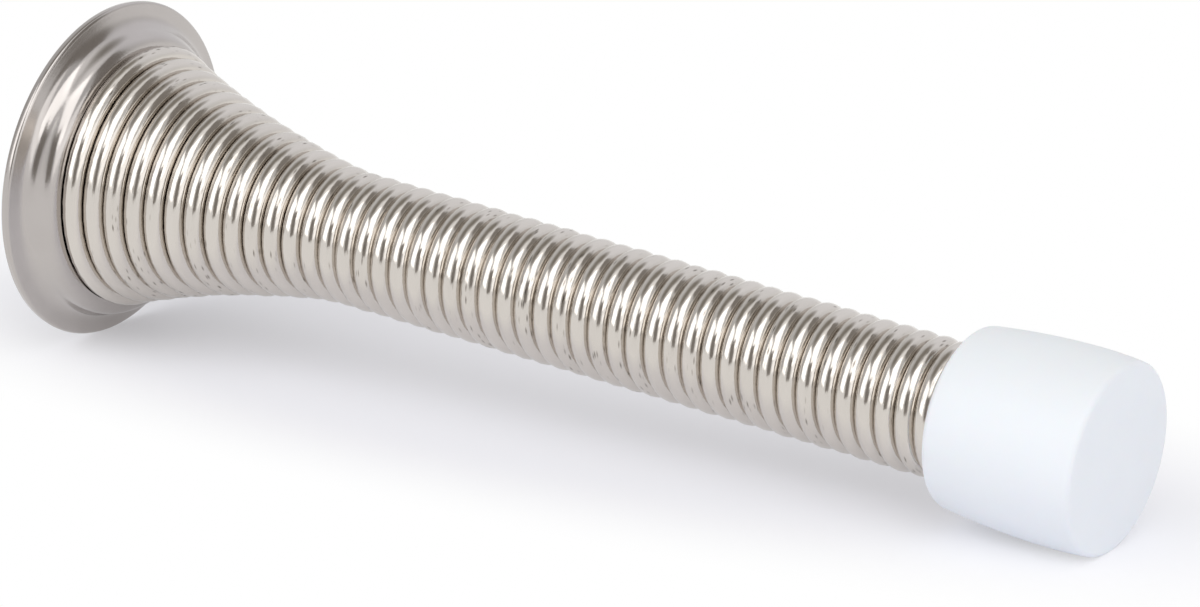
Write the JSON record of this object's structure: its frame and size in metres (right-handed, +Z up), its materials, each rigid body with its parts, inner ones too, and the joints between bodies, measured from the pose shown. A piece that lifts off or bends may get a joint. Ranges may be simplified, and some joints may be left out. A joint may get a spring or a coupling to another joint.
{
  "type": "spring door stop",
  "caption": "Flexible door stop: a close-wound flared spring on a round base, with a soft white tip that meets the door and a countersunk screw that fixes it to a skirting board.",
  "frame": {"origin": "centre of the base's back face, in the plane of the wall", "axes": "+X out of the wall along the spring to the tip, +Y to the left of the stop as seen from the wall, +Z up"},
  "size_m": [0.094, 0.0252, 0.0252],
  "materials": {
    "nickel_base": "satin nickel plate",
    "zinc_screw": "bright zinc plate",
    "nickel_wire": "satin nickel plate",
    "white_rubber": "matt moulded rubber"
  },
  "bodies": {
    "base": {"base_flange": "nickel_base", "fixing_screw": "zinc_screw"},
    "spring": {"spring": "nickel_wire"},
    "tip": {"rubber_tip": "white_rubber"}
  },
  "joints": [
    {"name": "bend_side", "type": "hinge", "parent": "base", "child": "spring", "pos_m": [0.022, 0, 0], "axis": [0, 0, 1], "range_deg": [-35, 35], "stiffness_Nm_per_rad": 0.15, "deforming": ["spring"]},
    {"name": "bend_up", "type": "hinge", "parent": "spring", "child": "tip", "pos_m": [0.053, 0, 0], "axis": [0, -1, 0], "range_deg": [-35, 35], "stiffness_Nm_per_rad": 0.15, "deforming": ["spring"]}
  ]
}
